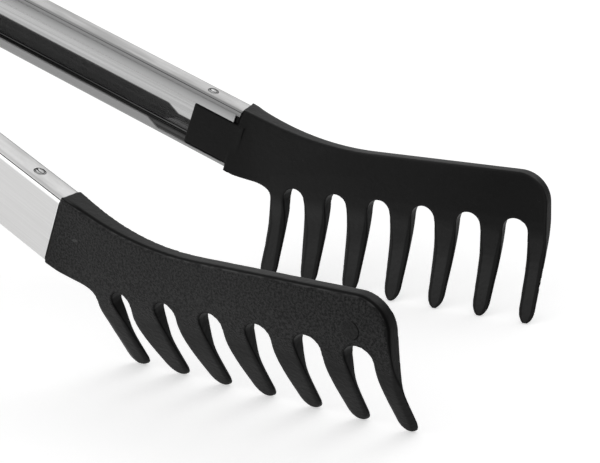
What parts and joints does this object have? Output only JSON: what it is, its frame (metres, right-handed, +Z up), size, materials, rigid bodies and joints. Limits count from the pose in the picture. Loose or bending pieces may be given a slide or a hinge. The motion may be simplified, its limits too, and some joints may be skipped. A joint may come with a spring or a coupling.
{
  "type": "kitchen tongs",
  "caption": "Spring loaded kitchen tongs with steel channel arms, comb heads with curved teeth, and a sliding lock with a hanging tab.",
  "frame": {"origin": "on the ground that the tips of the teeth stand on, below the middle of the overall length, in the plane of symmetry", "axes": "+X from the hinge to the heads with the heads level, +Y from the front arm to the rear arm, +Z up"},
  "size_m": [0.3676, 0.085, 0.1615],
  "materials": {
    "arm_steel": "brushed",
    "bright_steel": "polished",
    "spring_steel": "drawn wire",
    "head_nylon": "fine grain"
  },
  "bodies": {
    "hinge": {"hinge_rivet": "bright_steel", "spring_sleeve": "head_nylon", "torsion_spring": "spring_steel"},
    "front_side": {"front_arm": "arm_steel", "front_head": "head_nylon", "front_head_pin": "bright_steel"},
    "rear_side": {"rear_arm": "arm_steel", "rear_head": "head_nylon", "rear_head_pin": "bright_steel"},
    "lock": {"lock_slider": "arm_steel", "pull_tab": "head_nylon", "tab_rivet": "bright_steel"}
  },
  "joints": [
    {"name": "front_arm_squeeze", "type": "hinge", "parent": "hinge", "child": "front_side", "pos_m": [-0.14084, 0, 0.13874], "axis": [0.3975, 0, 0.9176], "range_deg": [0, 4.6], "stiffness_Nm_per_rad": 0.6, "springref_deg": -30, "deforming": ["torsion_spring"]},
    {"name": "rear_arm_squeeze", "type": "hinge", "parent": "hinge", "child": "rear_side", "pos_m": [-0.14084, 0, 0.13874], "axis": [-0.3975, 0, -0.9176], "range_deg": [0, 4.6], "stiffness_Nm_per_rad": 0.6, "springref_deg": -30},
    {"name": "lock_pull", "type": "slide", "parent": "hinge", "child": "lock", "axis": [-0.9176, 0, 0.3975], "range_m": [0, 0.006]}
  ],
  "couplings": [
    {"joint": "rear_arm_squeeze", "follows": "front_arm_squeeze", "ratio": 1}
  ]
}
